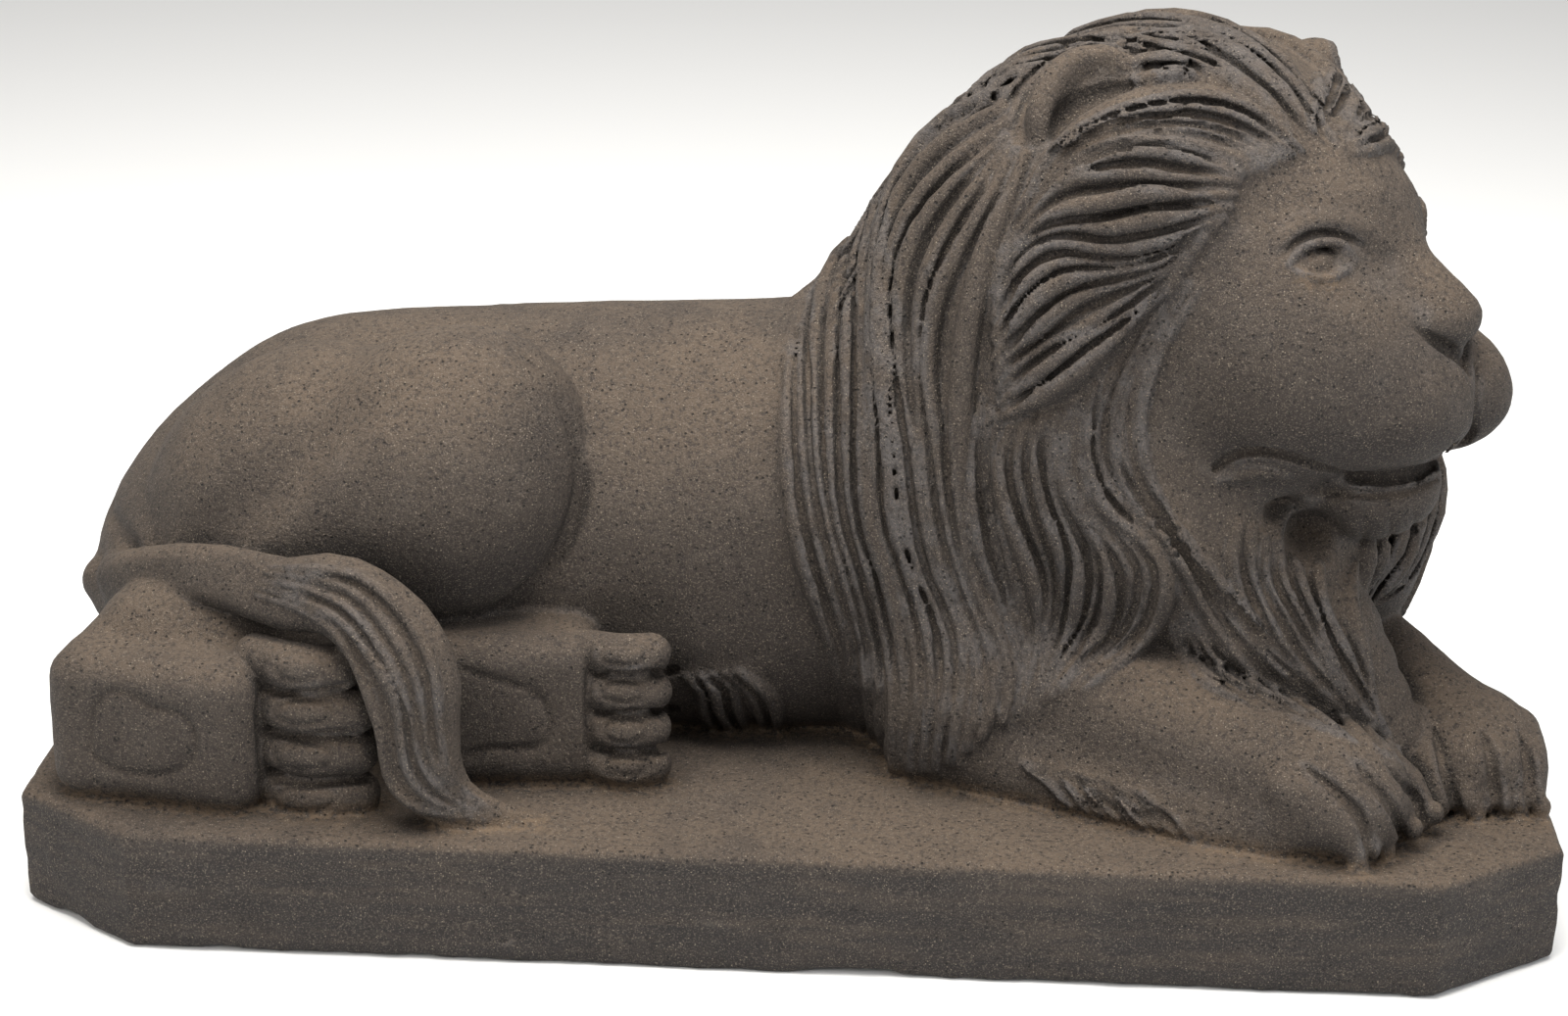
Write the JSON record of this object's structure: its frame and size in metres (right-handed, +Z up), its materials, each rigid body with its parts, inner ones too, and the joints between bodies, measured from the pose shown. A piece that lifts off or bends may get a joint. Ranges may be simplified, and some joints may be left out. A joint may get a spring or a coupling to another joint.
{
  "type": "lion statue",
  "caption": "Reclining stone lion cast in one with a plinth with cut corners, its head turned to one side over crossed forelegs, for a garden, gate or doorway.",
  "frame": {"origin": "centre of the plinth's underside", "axes": "+X ahead of the lion along the plinth, +Y to the lion's left, away from the side that the head turns to, +Z up"},
  "size_m": [1.4, 0.58, 0.7902],
  "materials": {
    "stone": "weathered dark brown-grey cast stone, matt, with pale grains and brown dust"
  },
  "bodies": {
    "root": {"lion_on_plinth": "stone"}
  },
  "joints": []
}
